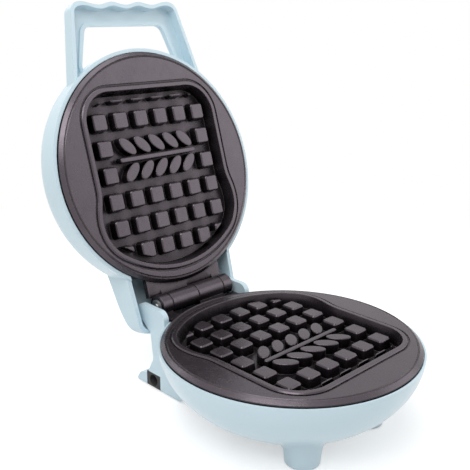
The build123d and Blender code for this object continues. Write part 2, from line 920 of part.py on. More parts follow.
def handle_profile(inset):
    """The handle's side view: a flat underside and a top that rises towards the dome."""
    front = -handle_reach - scallop_rise - handle_margin
    tip = handle_tip_height - inset
    rise = math.tan(math.radians(handle_slope)) * (-handle_root_y - front)
    with BuildSketch() as profile:
        with BuildLine():
            Polyline(
                (front, 0),
                (-handle_root_y, 0),
                (-handle_root_y, tip + rise),
                (front, tip),
                close=True,
            )
        make_face()
    return profile.sketch


with BuildPart() as handle:
    with BuildSketch(back_plane):
        add(handle_outline(0))
    extrude(amount=lid_height)
    with BuildSketch(side_plane(back_plane).offset(-handle_root_half_width)):
        add(handle_profile(0))
    extrude(amount=2 * handle_root_half_width, mode=Mode.INTERSECT)
    slope_top = handle.faces().filter_by(lambda f: f.normal_at().dot(lid_plane.z_dir) > 0.5)
    front_edges = slope_top.edges().filter_by(
        lambda e: lid_plane.to_local_coords(e.center()).Y < -handle_root_y - handle_margin
    )
    fillet(front_edges, handle_round)
    with BuildSketch(lid_plane):
        Circle(plate_radius + rim_gap)
    extrude(amount=rebate_depth, mode=Mode.SUBTRACT)
    with BuildSketch(lid_plane):
        add(finger_outline(0))
        Circle(lid_radius, mode=Mode.SUBTRACT)
    extrude(amount=lid_height, mode=Mode.SUBTRACT)


def handle_trough(inset, around_hole):
    """The hollow under the handle's top, either around the finger hole's rim or right across it."""
    with BuildPart() as hollow:
        with BuildSketch(back_plane):
            add(handle_outline(handle_wall))
            Circle(lid_radius, mode=Mode.SUBTRACT)
            if around_hole:
                add(finger_outline(handle_wall), mode=Mode.SUBTRACT)
        extrude(amount=lid_height)
        with BuildSketch(side_plane(back_plane).offset(-handle_root_half_width)):
            add(handle_profile(inset))
        extrude(amount=2 * handle_root_half_width, mode=Mode.INTERSECT)
    return hollow.part


with BuildPart() as lid_shell:
    with BuildSketch(section_plane(lid_plane)):
        add(lid_section(0, shell_drop))
    revolve(axis=turning_axis(lid_plane))
    add(tail_body(0, 0))
    add(handle.part)
    add(handle_trough(handle_wall, True), mode=Mode.SUBTRACT)
    add(handle_trough(handle_wall + finger_rim_rise, False), mode=Mode.SUBTRACT)
    add(tail_body(lid_wall, -1), mode=Mode.SUBTRACT)
    with BuildSketch(section_plane(lid_plane)):
        add(lid_section(lid_wall, -1))
    revolve(axis=turning_axis(lid_plane), mode=Mode.SUBTRACT)
    with BuildSketch(lid_plane):
        Circle(plate_radius + rim_gap)
    extrude(amount=rebate_depth, mode=Mode.SUBTRACT)

    with BuildSketch(lid_plane.offset(reflector_bottom)):
        with Locations(*post_spots):
            Circle(shell_post_radius)
            Circle(screw_head_radius + reflector_hole_gap, mode=Mode.SUBTRACT)
    extrude(amount=lid_height - lid_wall / 2 - crown_rise / 2 - reflector_bottom)
    for angle in hook_angles:
        turn = math.radians(angle)
        middle = skirt_radius + (lid_radius - skirt_radius) / 2 - hook_reach
        spot = Location((middle * math.cos(turn), middle * math.sin(turn), 0), (0, 0, angle))
        with BuildSketch(lid_plane.offset(skirt_depth + seat_gap)):
            with Locations(spot):
                Rectangle(lid_radius - skirt_radius, hook_width)
        extrude(amount=hook_thickness)
    with BuildSketch(lid_plane.offset(lens_seat)):
        with Locations((0, lens_y)):
            Circle(lens_boss_radius)
    extrude(amount=lid_height - lid_wall / 2 - crown_rise / 2 - lens_seat)
    with BuildSketch(lid_plane.offset(lens_seat)):
        with Locations((0, lens_y)):
            Circle(lens_radius + pad_gap)
    extrude(amount=lid_height, mode=Mode.SUBTRACT)

with BuildPart() as front_foot_pads:
    with BuildSketch(lower_face.offset(-table_drop)):
        with Locations((foot_x, foot_y), (-foot_x, foot_y)):
            Circle(pad_radius)
    extrude(amount=pad_depth)

with BuildPart() as rear_foot_pads:
    with BuildSketch(lower_face.offset(-table_drop)):
        with Locations((heel_pad_x, heel_pad_y), (-heel_pad_x, heel_pad_y)):
            Circle(heel_pad_radius)
    extrude(amount=heel_pad_depth)

with BuildPart() as cord_gland:
    with BuildSketch(side_plane(lower_face).offset(-neck_half_width)):
        with Locations((inlet_y, -sole_drop + inlet_height / 2)):
            Rectangle(inlet_width - 2 * gland_clearance, inlet_height - 2 * gland_clearance)
            Circle(cord_bore_radius, mode=Mode.SUBTRACT)
    extrude(amount=gland_depth - gland_clearance)

with BuildPart() as hinge_pin:
    with BuildSketch(side_plane(lower_face).offset(-knuckle_half_span - pin_overhang)):
        with Locations((hinge_back, hinge_rise_lower)):
            Circle(pin_radius)
    extrude(amount=2 * (knuckle_half_span + pin_overhang))
    chamfer(hinge_pin.edges().filter_by(GeomType.CIRCLE), pin_radius / 5)

with BuildPart() as hinge_pin_clips:
    for start in (knuckle_half_span + pin_clearance, -knuckle_half_span - pin_clearance - clip_thickness):
        with BuildSketch(side_plane(lower_face).offset(start)):
            with Locations((hinge_back, hinge_rise_lower)):
                Circle(clip_radius)
                Circle(pin_radius + pin_clearance, mode=Mode.SUBTRACT)
        extrude(amount=clip_thickness)

lower_heating_element = heater_ring(lower_face)
upper_heating_element = heater_ring(upper_face)
lower_element_clips = heater_straps(lower_face)
upper_element_clips = heater_straps(upper_face)
lower_reflector = reflector_dish(lower_face, [(thermostat_lug_x, 0), (-thermostat_lug_x, 0)])
upper_reflector = reflector_dish(upper_face, [(0, fuse_lug_y)])
base_screws = screws(
    lower_face, post_spots, seat_depth, screw_radius, screw_head_radius, screw_head_height,
    seat_depth - post_end + thread_length,
)
upper_reflector_screws = screws(
    upper_face, post_spots, reflector_bottom, screw_radius, screw_head_radius, screw_head_height,
    reflector_thickness + thread_length,
)
lower_clip_screws = screws(
    lower_face, lug_spots(), strap_top + strap_thickness, small_screw_radius, small_screw_head_radius,
    small_screw_head_height, strap_thickness + small_thread_length,
)
upper_clip_screws = screws(
    upper_face, lug_spots(), strap_top + strap_thickness, small_screw_radius, small_screw_head_radius,
    small_screw_head_height, strap_thickness + small_thread_length,
)
thermostat_screws = screws(
    lower_face, [(thermostat_lug_x, 0), (-thermostat_lug_x, 0)], bracket_top + bracket_thickness,
    small_screw_radius, small_screw_head_radius, small_screw_head_height,
    bracket_thickness + small_thread_length,
)
fuse_screw = screws(
    upper_face, [(0, fuse_lug_y)], fuse_strap_top + bracket_thickness, small_screw_radius,
    small_screw_head_radius, small_screw_head_height, bracket_thickness + small_thread_length,
)

with BuildPart() as thermostat:
    with BuildSketch(lower_face.offset(-casting_depth)):
        Circle(thermostat_cap_radius)
    extrude(amount=-thermostat_cap_height)
    with BuildSketch(lower_face.offset(-bracket_top)):
        Circle(thermostat_radius)
    extrude(amount=-(thermostat_height - thermostat_cap_height))
    with BuildSketch(lower_face.offset(-casting_depth - thermostat_height)):
        with Locations((blade_spacing / 2, 0), (-blade_spacing / 2, 0)):
            Rectangle(blade_thickness, blade_width)
    extrude(amount=-blade_length)

with BuildPart() as thermostat_bracket:
    with BuildSketch(lower_face.offset(-bracket_top)):
        RectangleRounded(bracket_length, bracket_width, bracket_width / 4)
        Circle(thermostat_cap_radius + bracket_thickness)
        Circle(thermostat_radius + pad_gap, mode=Mode.SUBTRACT)
        with Locations((thermostat_lug_x, 0), (-thermostat_lug_x, 0)):
            Circle(small_screw_radius + screw_hole_gap, mode=Mode.SUBTRACT)
    extrude(amount=-bracket_thickness)

with BuildPart() as terminal_block:
    with BuildSketch(lower_face.offset(-block_drop - block_height / 2)):
        with Locations((0, block_y)):
            RectangleRounded(block_length, block_depth, cradle_wall / 2)
    extrude(amount=block_height)
    end_plane = Plane(lower_face.origin, x_dir=lower_face.x_dir, z_dir=lower_face.y_dir)
    with BuildSketch(end_plane.offset(block_y)):
        with Locations((block_pitch / 2, block_drop), (-block_pitch / 2, block_drop)):
            Circle(block_bore_radius)
    extrude(amount=block_depth, both=True, mode=Mode.SUBTRACT)
    with BuildSketch(lower_face.offset(-block_drop)):
        with Locations((block_pitch / 2, block_y), (-block_pitch / 2, block_y)):
            Circle(screw_radius)
    extrude(amount=block_height, mode=Mode.SUBTRACT)

block_mouth = block_y - block_depth / 2
blade_edge = blade_width / 2 + seat_gap
blade_drop = casting_depth + thermostat_height + blade_length / 2
base_leads = run_leads(
    lower_face,
    [
        [
            pin_tip(-1),
            pin_tip(-1, lead_straight),
            (-block_pitch / 2, lead_row_y, -heater_drop),
            (-block_pitch / 2, lead_row_y, -block_drop),
            (-block_pitch / 2, block_mouth + lead_straight, -block_drop),
        ],
        [
            (blade_spacing / 2, blade_edge, -blade_drop),
            (block_pitch / 2, lead_row_y, -block_drop),
            (block_pitch / 2, block_mouth + lead_straight, -block_drop),
        ],
        [
            pin_tip(1),
            pin_tip(1, lead_straight),
            (0, lead_row_y - lead_bend, -heater_drop),
            (0, lead_row_y - lead_bend, -blade_drop),
            (-blade_spacing / 2, blade_edge, -blade_drop),
        ],
    ],
)

with BuildPart() as thermal_fuse:
    with BuildSketch(side_plane(upper_face).offset(-fuse_length / 2)):
        with Locations((fuse_y, -fuse_drop)):
            Circle(fuse_radius)
    extrude(amount=fuse_length)

with BuildPart() as fuse_strap:
    with BuildSketch(upper_face.offset(-fuse_strap_top)):
        with Locations((0, (fuse_y + fuse_lug_y) / 2)):
            RectangleRounded(fuse_strap_width, fuse_lug_y - fuse_y + fuse_strap_width, fuse_strap_width / 4)
        with Locations((0, fuse_lug_y)):
            Circle(small_screw_radius + screw_hole_gap, mode=Mode.SUBTRACT)
    extrude(amount=-bracket_thickness)

fuse_end = fuse_length / 2
lid_leads = run_leads(
    upper_face,
    [
        [
            pin_tip(-1),
            pin_tip(-1, lead_straight),
            (-1.5 * lead_bend, fuse_lug_y + 3.5 * lead_bend, -fuse_drop),
            (-fuse_end - lead_bend, fuse_lug_y + 2 * lead_bend, -fuse_drop),
            (-fuse_end - 3 * lead_bend, fuse_lug_y, -fuse_drop),
            (-fuse_end - 3 * lead_bend, fuse_y, -fuse_drop),
            (-fuse_end, fuse_y, -fuse_drop),
        ],
        [
            (fuse_end, fuse_y, -fuse_drop),
            (fuse_end + 3 * lead_bend, fuse_y, -fuse_drop),
            (fuse_end + 3 * lead_bend, fuse_lug_y, -fuse_drop),
            (lead_aside, fuse_lug_y + 3 * lead_bend, -fuse_drop),
            (lead_aside, lead_end_y - 2 * lead_slant, -fuse_drop),
            (lead_aside, lead_end_y - lead_slant, -lead_exit_drop),
            (lead_aside, lead_end_y, -lead_exit_drop),
        ],
        [
            pin_tip(1),
            pin_tip(1, lead_straight),
            (block_pitch / 2, lead_row_y, -fuse_drop),
            (block_pitch / 2, lead_end_y - 2 * lead_slant, -fuse_drop),
            (block_pitch / 2, lead_end_y - lead_slant, -lead_exit_drop),
            (block_pitch / 2, lead_end_y, -lead_exit_drop),
        ],
    ],
)

with BuildPart() as indicator_lens:
    with BuildSketch(lid_plane.offset(lens_seat)):
        with Locations((0, lens_y)):
            Circle(lens_flange_radius)
    extrude(amount=-lens_flange_thickness)
    with BuildSketch(lid_plane.offset(lens_seat)):
        with Locations((0, lens_y)):
            Circle(lens_radius)
    extrude(amount=lens_top - lens_seat)
    fillet(indicator_lens.edges().sort_by(Axis(lid_plane.origin, lid_plane.z_dir))[-1], lens_proud)

with BuildPart() as lamp_holder:
    with BuildSketch(lid_plane.offset(lens_seat)):
        with Locations((0, lens_y)):
            RectangleRounded(lamp_length + 2 * cradle_wall, 2 * holder_half_depth, cradle_wall)
    extrude(amount=-holder_height)
    with BuildSketch(lid_plane.offset(lens_seat)):
        with Locations((0, lens_y)):
            Circle(lens_flange_radius + pad_gap)
    extrude(amount=-lens_flange_thickness - pad_gap, mode=Mode.SUBTRACT)
    with BuildSketch(lid_plane.offset(lens_seat)):
        with Locations((0, lens_y)):
            Rectangle(lamp_length - cradle_wall, lamp_radius)
    extrude(amount=-lens_flange_thickness - lamp_radius, mode=Mode.SUBTRACT)
    with BuildSketch(side_plane(lid_plane).offset(-lamp_length)):
        with Locations((lens_y, lamp_rise)):
            Circle(lamp_radius + pad_gap)
    extrude(amount=2 * lamp_length, mode=Mode.SUBTRACT)

with BuildPart() as indicator_lamp:
    with BuildSketch(side_plane(lid_plane).offset(-lamp_length / 2)):
        with Locations((lens_y, lamp_rise)):
            Circle(lamp_radius)
    extrude(amount=lamp_length)

lower_plate = griddle(
    lower_face, hinge_rise_lower, [(thermostat_lug_x, 0), (-thermostat_lug_x, 0)], bracket_top
)
upper_plate = griddle(upper_face, hinge_rise_upper, [(0, fuse_lug_y)], fuse_strap_top)

base_pieces = {
    "base_shell": base_shell,
    "front_foot_pads": front_foot_pads,
    "rear_foot_pads": rear_foot_pads,
    "cord_gland": cord_gland,
    "lower_plate": lower_plate,
    "lower_heating_element": lower_heating_element,
    "lower_element_clips": lower_element_clips,
    "lower_clip_screws": lower_clip_screws,
    "lower_reflector": lower_reflector,
    "base_screws": base_screws,
    "thermostat": thermostat,
    "thermostat_bracket": thermostat_bracket,
    "thermostat_screws": thermostat_screws,
    "terminal_block": terminal_block,
    "base_leads": base_leads,
    "hinge_pin": hinge_pin,
    "hinge_pin_clips": hinge_pin_clips,
}
lid_pieces = {
    "lid_shell": lid_shell,
    "upper_plate": upper_plate,
    "upper_heating_element": upper_heating_element,
    "upper_element_clips": upper_element_clips,
    "upper_clip_screws": upper_clip_screws,
    "upper_reflector": upper_reflector,
    "upper_reflector_screws": upper_reflector_screws,
    "thermal_fuse": thermal_fuse,
    "fuse_strap": fuse_strap,
    "fuse_screw": fuse_screw,
    "indicator_lens": indicator_lens,
    "indicator_lamp": indicator_lamp,
    "lamp_holder": lamp_holder,
    "lid_leads": lid_leads,
}

os.makedirs("parts", exist_ok=True)
for place, pieces in ((Location(), base_pieces), (swing_open, lid_pieces)):
    for name, block in pieces.items():
        piece = place * block.part
        piece.label = name
        export_step(piece, f"parts/{name}.step")
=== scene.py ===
# %% [markdown]
# A mini waffle maker, standing open: finishes, light and camera.
# The real thing is two pale blue moulded shells, each holding a die-cast plate with a dark
# non-stick coating. The lid hangs back on a hinge that is cast into the plates, and a looped
# handle grows out of the lid's rim. The construction comes in as a fixed frame, piece by piece,
# and this script gives each piece the surface that the real one has.

import json
import math

import bmesh
import bpy
from mathutils import Matrix, Vector


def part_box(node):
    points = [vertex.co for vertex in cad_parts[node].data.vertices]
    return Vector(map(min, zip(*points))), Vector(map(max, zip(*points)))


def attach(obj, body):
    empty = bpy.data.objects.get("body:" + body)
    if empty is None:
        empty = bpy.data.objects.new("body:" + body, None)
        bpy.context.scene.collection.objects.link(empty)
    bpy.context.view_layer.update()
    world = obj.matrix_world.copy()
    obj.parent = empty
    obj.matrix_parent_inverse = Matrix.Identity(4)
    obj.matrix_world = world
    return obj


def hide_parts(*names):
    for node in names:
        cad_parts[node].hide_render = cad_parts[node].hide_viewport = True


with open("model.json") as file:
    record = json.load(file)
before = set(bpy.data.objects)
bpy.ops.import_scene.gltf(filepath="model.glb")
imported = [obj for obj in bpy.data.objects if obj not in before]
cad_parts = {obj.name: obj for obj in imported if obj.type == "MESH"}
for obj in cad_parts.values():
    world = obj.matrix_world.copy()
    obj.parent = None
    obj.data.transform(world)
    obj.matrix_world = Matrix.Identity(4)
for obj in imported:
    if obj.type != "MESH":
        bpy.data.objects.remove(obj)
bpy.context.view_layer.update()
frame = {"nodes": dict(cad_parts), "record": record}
print("pieces in the frame:", len(frame["nodes"]))

# %% [markdown]
# The camera comes first, because every later choice is judged through it.
# The photograph was taken a little above the rim of the lower plate, from the front left corner,
# with a mild telephoto lens. A camera can be placed by typing its location, or by aiming it with
# a constraint. Here it is worked out from a few plain facts about the shot: how far round the
# object the camera stood, how high, how far away, how it was tilted, how long its lens was, and
# how much the frame was moved sideways and up to take in the handle. That keeps each fact
# separate, so that any one can be corrected against the photograph by itself.

# %% Place of the lower plate, read from the frame
hinge_above_rim = 0.0015
pin_low, pin_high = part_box("hinge_pin")
rim_height = (pin_low.z + pin_high.z) / 2 - hinge_above_rim
plate_low, plate_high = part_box("lower_plate")
plate_radius = plate_high.x
plate_centre = Vector((0.0, plate_low.y + plate_radius, rim_height))
print("plate centre:", tuple(round(v, 5) for v in plate_centre))

# %% Camera
shot_azimuth = math.radians(-44.664)
shot_elevation = math.radians(17.288)
shot_roll = math.radians(0.472)
shot_distance = 0.348597
shot_side = -0.026299
shot_up = 0.048155
shot_lens = 56.783
sensor_width = 36.0


def camera_axes(azimuth, elevation, roll):
    """The camera's own right, up and backward directions for a shot taken from that side."""
    right = Vector((math.cos(azimuth), math.sin(azimuth), 0.0))
    back = Vector((math.sin(azimuth) * math.cos(elevation), -math.cos(azimuth) * math.cos(elevation),
                   math.sin(elevation)))
    up = back.cross(right)
    turn = Matrix.Rotation(roll, 3, back)
    return turn @ right, turn @ up, back


right, up, back = camera_axes(shot_azimuth, shot_elevation, shot_roll)
camera_data = bpy.data.cameras.new("shot")
camera_data.lens = shot_lens
camera_data.sensor_width = sensor_width
camera_data.clip_start = 0.01
camera_data.clip_end = 20.0
camera = bpy.data.objects.new("shot", camera_data)
bpy.context.scene.collection.objects.link(camera)
place = plate_centre + back * shot_distance + right * shot_side + up * shot_up
camera.matrix_world = Matrix.Translation(place) @ Matrix((right, up, back)).transposed().to_4x4()
bpy.context.scene.camera = camera
print("camera at:", tuple(round(v, 4) for v in place))

# %% [markdown]
# The setting is a white sweep with soft light, as in a catalogue. The easy way to get a white
# background is to turn the lamps up, but that washes the object out. Here the floor and the
# world answer one question, "is this ray going to the camera, to a reflection or through
# glass?", and show white only then. The object is lit separately, at a plain level, and the
# floor still darkens where the object keeps light from it.

# %% White for the camera, plain light for the object
def seen_directly(tree):
    """A value that is 1 for camera, glossy and transmission rays, and 0 for the rays that light things."""
    path = tree.nodes.new("ShaderNodeLightPath")
    either = tree.nodes.new("ShaderNodeMath")
    either.operation = "MAXIMUM"
    tree.links.new(path.outputs["Is Camera Ray"], either.inputs[0])
    tree.links.new(path.outputs["Is Glossy Ray"], either.inputs[1])
    any_of = tree.nodes.new("ShaderNodeMath")
    any_of.operation = "MAXIMUM"
    tree.links.new(either.outputs[0], any_of.inputs[0])
    tree.links.new(path.outputs["Is Transmission Ray"], any_of.inputs[1])
    return any_of.outputs[0]


# %% World
world_light = 0.44
world_tint = (0.98, 0.97, 0.97, 1.0)
world_white = 1.0
world = bpy.data.worlds.new("studio")
bpy.context.scene.world = world
world.use_nodes = True
sky = world.node_tree
sky.nodes.clear()
soft = sky.nodes.new("ShaderNodeBackground")
soft.inputs["Color"].default_value = world_tint
soft.inputs["Strength"].default_value = world_light
plain = sky.nodes.new("ShaderNodeBackground")
plain.inputs["Color"].default_value = (1.0, 1.0, 1.0, 1.0)
plain.inputs["Strength"].default_value = world_white
pick = sky.nodes.new("ShaderNodeMixShader")
sky.links.new(seen_directly(sky), pick.inputs["Fac"])
sky.links.new(soft.outputs[0], pick.inputs[1])
sky.links.new(plain.outputs[0], pick.inputs[2])
sky.links.new(pick.outputs[0], sky.nodes.new("ShaderNodeOutputWorld").inputs["Surface"])
print("world light:", world_light)

# %% Floor
floor_half = 3.0
floor_grey = 0.80
floor_glow = 0.50
floor_shaded = 0.66
fade_start = 0.20
fade_end = 0.42

floor_form = bmesh.new()
bmesh.ops.create_grid(floor_form, x_segments=1, y_segments=1, size=floor_half)
floor_mesh = bpy.data.meshes.new("floor")
floor_form.to_mesh(floor_mesh)
floor_form.free()
floor = bpy.data.objects.new("floor", floor_mesh)
bpy.context.scene.collection.objects.link(floor)

paper = bpy.data.materials.new("white_sweep")
paper.use_nodes = True
tree = paper.node_tree
tree.nodes.clear()
lit = tree.nodes.new("ShaderNodeBsdfDiffuse")
lit.inputs["Color"].default_value = (floor_grey, floor_grey, floor_grey, 1.0)
shade = tree.nodes.new("ShaderNodeBsdfDiffuse")
shade.inputs["Color"].default_value = (floor_shaded, floor_shaded, floor_shaded, 1.0)
glow = tree.nodes.new("ShaderNodeEmission")
glow.inputs["Color"].default_value = (1.0, 1.0, 1.0, 1.0)
glow.inputs["Strength"].default_value = floor_glow
both = tree.nodes.new("ShaderNodeAddShader")
tree.links.new(shade.outputs[0], both.inputs[0])
tree.links.new(glow.outputs[0], both.inputs[1])
white = tree.nodes.new("ShaderNodeEmission")
white.inputs["Color"].default_value = (1.0, 1.0, 1.0, 1.0)
white.inputs["Strength"].default_value = world_white
where = tree.nodes.new("ShaderNodeTexCoord")
length = tree.nodes.new("ShaderNodeVectorMath")
length.operation = "LENGTH"
tree.links.new(where.outputs["Object"], length.inputs[0])
distance = tree.nodes.new("ShaderNodeMapRange")
distance.interpolation_type = "SMOOTHSTEP"
distance.inputs["From Min"].default_value = fade_start
distance.inputs["From Max"].default_value = fade_end
tree.links.new(length.outputs["Value"], distance.inputs["Value"])
faded = tree.nodes.new("ShaderNodeMixShader")
tree.links.new(distance.outputs["Result"], faded.inputs["Fac"])
tree.links.new(both.outputs[0], faded.inputs[1])
tree.links.new(white.outputs[0], faded.inputs[2])
choose = tree.nodes.new("ShaderNodeMixShader")
tree.links.new(seen_directly(tree), choose.inputs["Fac"])
tree.links.new(lit.outputs[0], choose.inputs[1])
tree.links.new(faded.outputs[0], choose.inputs[2])
tree.links.new(choose.outputs[0], tree.nodes.new("ShaderNodeOutputMaterial").inputs["Surface"])
floor_mesh.materials.append(paper)
print("floor half size, metres:", floor_half)

# %% [markdown]
# Four large area lamps do the work of softboxes: a key over the left shoulder, a weaker fill from
# the right, a strip behind that draws the shells' edges, and one overhead that lights the tops of
# the bosses. Large lamps close by give soft shadows, and long, gentle highlights on the shells.

# %% Lamps
lit_middle = Vector((0.0, 0.0, 0.09))


def softbox(name, place, width, height, power):
    """An area lamp of that size in metres, pointed at the middle of the object."""
    data = bpy.data.lights.new(name, "AREA")
    data.shape = "RECTANGLE"
    data.size, data.size_y = width, height
    data.energy = power
    lamp = bpy.data.objects.new(name, data)
    bpy.context.scene.collection.objects.link(lamp)
    lamp.location = place
    lamp.rotation_mode = "QUATERNION"
    lamp.rotation_quaternion = (lit_middle - Vector(place)).to_track_quat("-Z", "Y")
    print("lamp", name, power, "W")


softbox("key", (-0.50, -0.25, 0.80), 0.60, 0.45, 4.0)
softbox("fill", (0.75, -0.55, 0.45), 0.70, 0.60, 1.7)
softbox("rear_strip", (0.15, 0.80, 0.65), 0.90, 0.30, 2.4)
softbox("top", (0.05, 0.10, 0.95), 0.70, 0.50, 2.2)

bpy.context.scene.view_settings.view_transform = "Standard"

# %% [markdown]
# Materials are built from a few small effects that many surfaces share. Moulded plastic, a
# sprayed coating and rolled sheet all have a slow unevenness of gloss, a fine grain that bends
# the highlights, and edges that wear first. The lighter colour on edges is partly that wear and
# partly a painted highlight, and some finishes also get painted shade in their hollows. Each
# effect is one node group, built once, with named sockets for what differs from piece to piece.
# The shader itself stays in the material.

# %% Helpers for shader groups
def new_group(name, inputs, outputs):
    """An empty shader group with float inputs {name: default} and outputs {name: socket type}."""
    group = bpy.data.node_groups.new(name, "ShaderNodeTree")
    for label, value in inputs.items():
        socket = group.interface.new_socket(name=label, in_out="INPUT", socket_type="NodeSocketFloat")
        socket.default_value = value
    for label, kind in outputs.items():
        group.interface.new_socket(name=label, in_out="OUTPUT", socket_type=kind)
    return group, group.nodes.new("NodeGroupInput"), group.nodes.new("NodeGroupOutput")


noise_roughness = 0.55


def object_noise(tree, scale, detail=4.0):
    """A noise texture on Object coordinates. scale is a number or a socket."""
    where = tree.nodes.new("ShaderNodeTexCoord")
    noise = tree.nodes.new("ShaderNodeTexNoise")
    noise.inputs["Detail"].default_value = detail
    noise.inputs["Roughness"].default_value = noise_roughness
    tree.links.new(where.outputs["Object"], noise.inputs["Vector"])
    if isinstance(scale, (int, float)):
        noise.inputs["Scale"].default_value = scale
    else:
        tree.links.new(scale, noise.inputs["Scale"])
    return noise.outputs["Fac"]


def math_node(tree, operation, first, second, clamp=False):
    """A Math node on two numbers or sockets."""
    node = tree.nodes.new("ShaderNodeMath")
    node.operation = operation
    node.use_clamp = clamp
    for socket, value in zip(node.inputs, (first, second)):
        if isinstance(value, (int, float)):
            socket.default_value = value
        else:
            tree.links.new(value, socket)
    return node.outputs[0]


def between(tree, factor, low, high, from_low, from_high):
    """factor, taken from its own span to the span low to high. All may be numbers or sockets."""
    node = tree.nodes.new("ShaderNodeMapRange")
    ends = {"Value": factor, "From Min": from_low, "From Max": from_high, "To Min": low, "To Max": high}
    for label, value in ends.items():
        if isinstance(value, (int, float)):
            node.inputs[label].default_value = value
        else:
            tree.links.new(value, node.inputs[label])
    return node.outputs["Result"]


# %% Uneven gloss
gloss_cloud_low, gloss_cloud_high = 0.3, 0.7
uneven, given, out = new_group(
    "uneven_gloss", {"Scale": 60.0, "Low": 0.25, "High": 0.35}, {"Roughness": "NodeSocketFloat"})
gloss_cloud = object_noise(uneven, given.outputs["Scale"])
uneven_roughness = between(uneven, gloss_cloud, given.outputs["Low"], given.outputs["High"],
                           gloss_cloud_low, gloss_cloud_high)
uneven.links.new(uneven_roughness, out.inputs["Roughness"])
print("made:", uneven.name)

# %% Fine grain
grain, given, out = new_group(
    "fine_grain", {"Scale": 1500.0, "Height": 1.0}, {"Height": "NodeSocketFloat"})
fine = object_noise(grain, given.outputs["Scale"], detail=2.0)
grain.links.new(math_node(grain, "MULTIPLY", fine, given.outputs["Height"]), out.inputs["Height"])
print("made:", grain.name)

# %% Edge wear and painted highlight: where the rounded normal leaves the true one
edge_samples = 4
sharp_agreement, flat_agreement = 0.80, 0.995
patch_low, patch_high = 0.35, 0.65
least_edge_tint = 0.2

edges, given, out = new_group(
    "edge_wear_and_highlight", {"Radius": 0.0006, "Amount": 0.6, "Scale": 300.0}, {"Mask": "NodeSocketFloat"})
rounded = edges.nodes.new("ShaderNodeBevel")
rounded.samples = edge_samples
edges.links.new(given.outputs["Radius"], rounded.inputs["Radius"])
true_face = edges.nodes.new("ShaderNodeNewGeometry")
agree = edges.nodes.new("ShaderNodeVectorMath")
agree.operation = "DOT_PRODUCT"
edges.links.new(rounded.outputs["Normal"], agree.inputs[0])
edges.links.new(true_face.outputs["Normal"], agree.inputs[1])
# Edges get a lighter colour from this mask, partly wear and partly painted highlight.
on_edge = between(edges, agree.outputs["Value"], 1.0, 0.0, sharp_agreement, flat_agreement)
patchy = between(edges, object_noise(edges, given.outputs["Scale"]), least_edge_tint, 1.0, patch_low, patch_high)
worn_and_lit = math_node(edges, "MULTIPLY", on_edge, patchy)
edges.links.new(math_node(edges, "MULTIPLY", worn_and_lit, given.outputs["Amount"], clamp=True),
                out.inputs["Mask"])
print("made:", edges.name)

# %% Painted shade in crevices: the colour darkens where little light gets in
hollow_shade_samples = 6
shut_in, open_air = 0.35, 0.95

painted_hollow_shade, given, out = new_group(
    "painted_hollow_shade", {"Distance": 0.004, "Amount": 0.5}, {"Mask": "NodeSocketFloat"})
occluded = painted_hollow_shade.nodes.new("ShaderNodeAmbientOcclusion")
occluded.samples = hollow_shade_samples
painted_hollow_shade.links.new(given.outputs["Distance"], occluded.inputs["Distance"])
dark = between(painted_hollow_shade, occluded.outputs["AO"], 1.0, 0.0, shut_in, open_air)
painted_hollow_shade.links.new(math_node(painted_hollow_shade, "MULTIPLY", dark, given.outputs["Amount"], clamp=True),
                  out.inputs["Mask"])
print("shared effects:", [g.name for g in bpy.data.node_groups])

# %% [markdown]
# A finish is then one short recipe: a shader, a colour that the effects tint, a roughness that
# the uneven gloss moves, and a bump whose height is the grain. The helper below wires those
# same four things for each finish, and adds lighter edges (partly wear, partly painted
# highlight), painted shade in hollows and clouding only to the finishes that need them. The
# shells have none of the three, because their plastic is one even colour.

# %% Helpers for finishes
round_over_samples = 6


def effect(tree, group, **values):
    """That shared effect, placed in a material with its own values."""
    node = tree.nodes.new("ShaderNodeGroup")
    node.node_tree = group
    for label, value in values.items():
        node.inputs[label.capitalize()].default_value = value
    return node.outputs[0]


def tinted(tree, mask, under, over):
    """Colour under, turning to colour over where mask is 1. Colours are RGB or sockets."""
    mix = tree.nodes.new("ShaderNodeMix")
    mix.data_type = "RGBA"
    mix.clamp_factor = True
    tree.links.new(mask, mix.inputs["Factor"])
    for socket, value in ((mix.inputs[6], under), (mix.inputs[7], over)):
        if isinstance(value, tuple):
            socket.default_value = (*value, 1.0)
        else:
            tree.links.new(value, socket)
    return mix.outputs[2]


def bumped(tree, height, distance, round_over):
    """A Bump node whose height is that socket, on edges rounded over by that radius, if any. Metres."""
    bump = tree.nodes.new("ShaderNodeBump")
    bump.inputs["Distance"].default_value = distance
    tree.links.new(height, bump.inputs["Height"])
    if round_over:
        rounded = tree.nodes.new("ShaderNodeBevel")
        rounded.samples = round_over_samples
        rounded.inputs["Radius"].default_value = round_over
        tree.links.new(rounded.outputs["Normal"], bump.inputs["Normal"])
    return bump.outputs["Normal"]


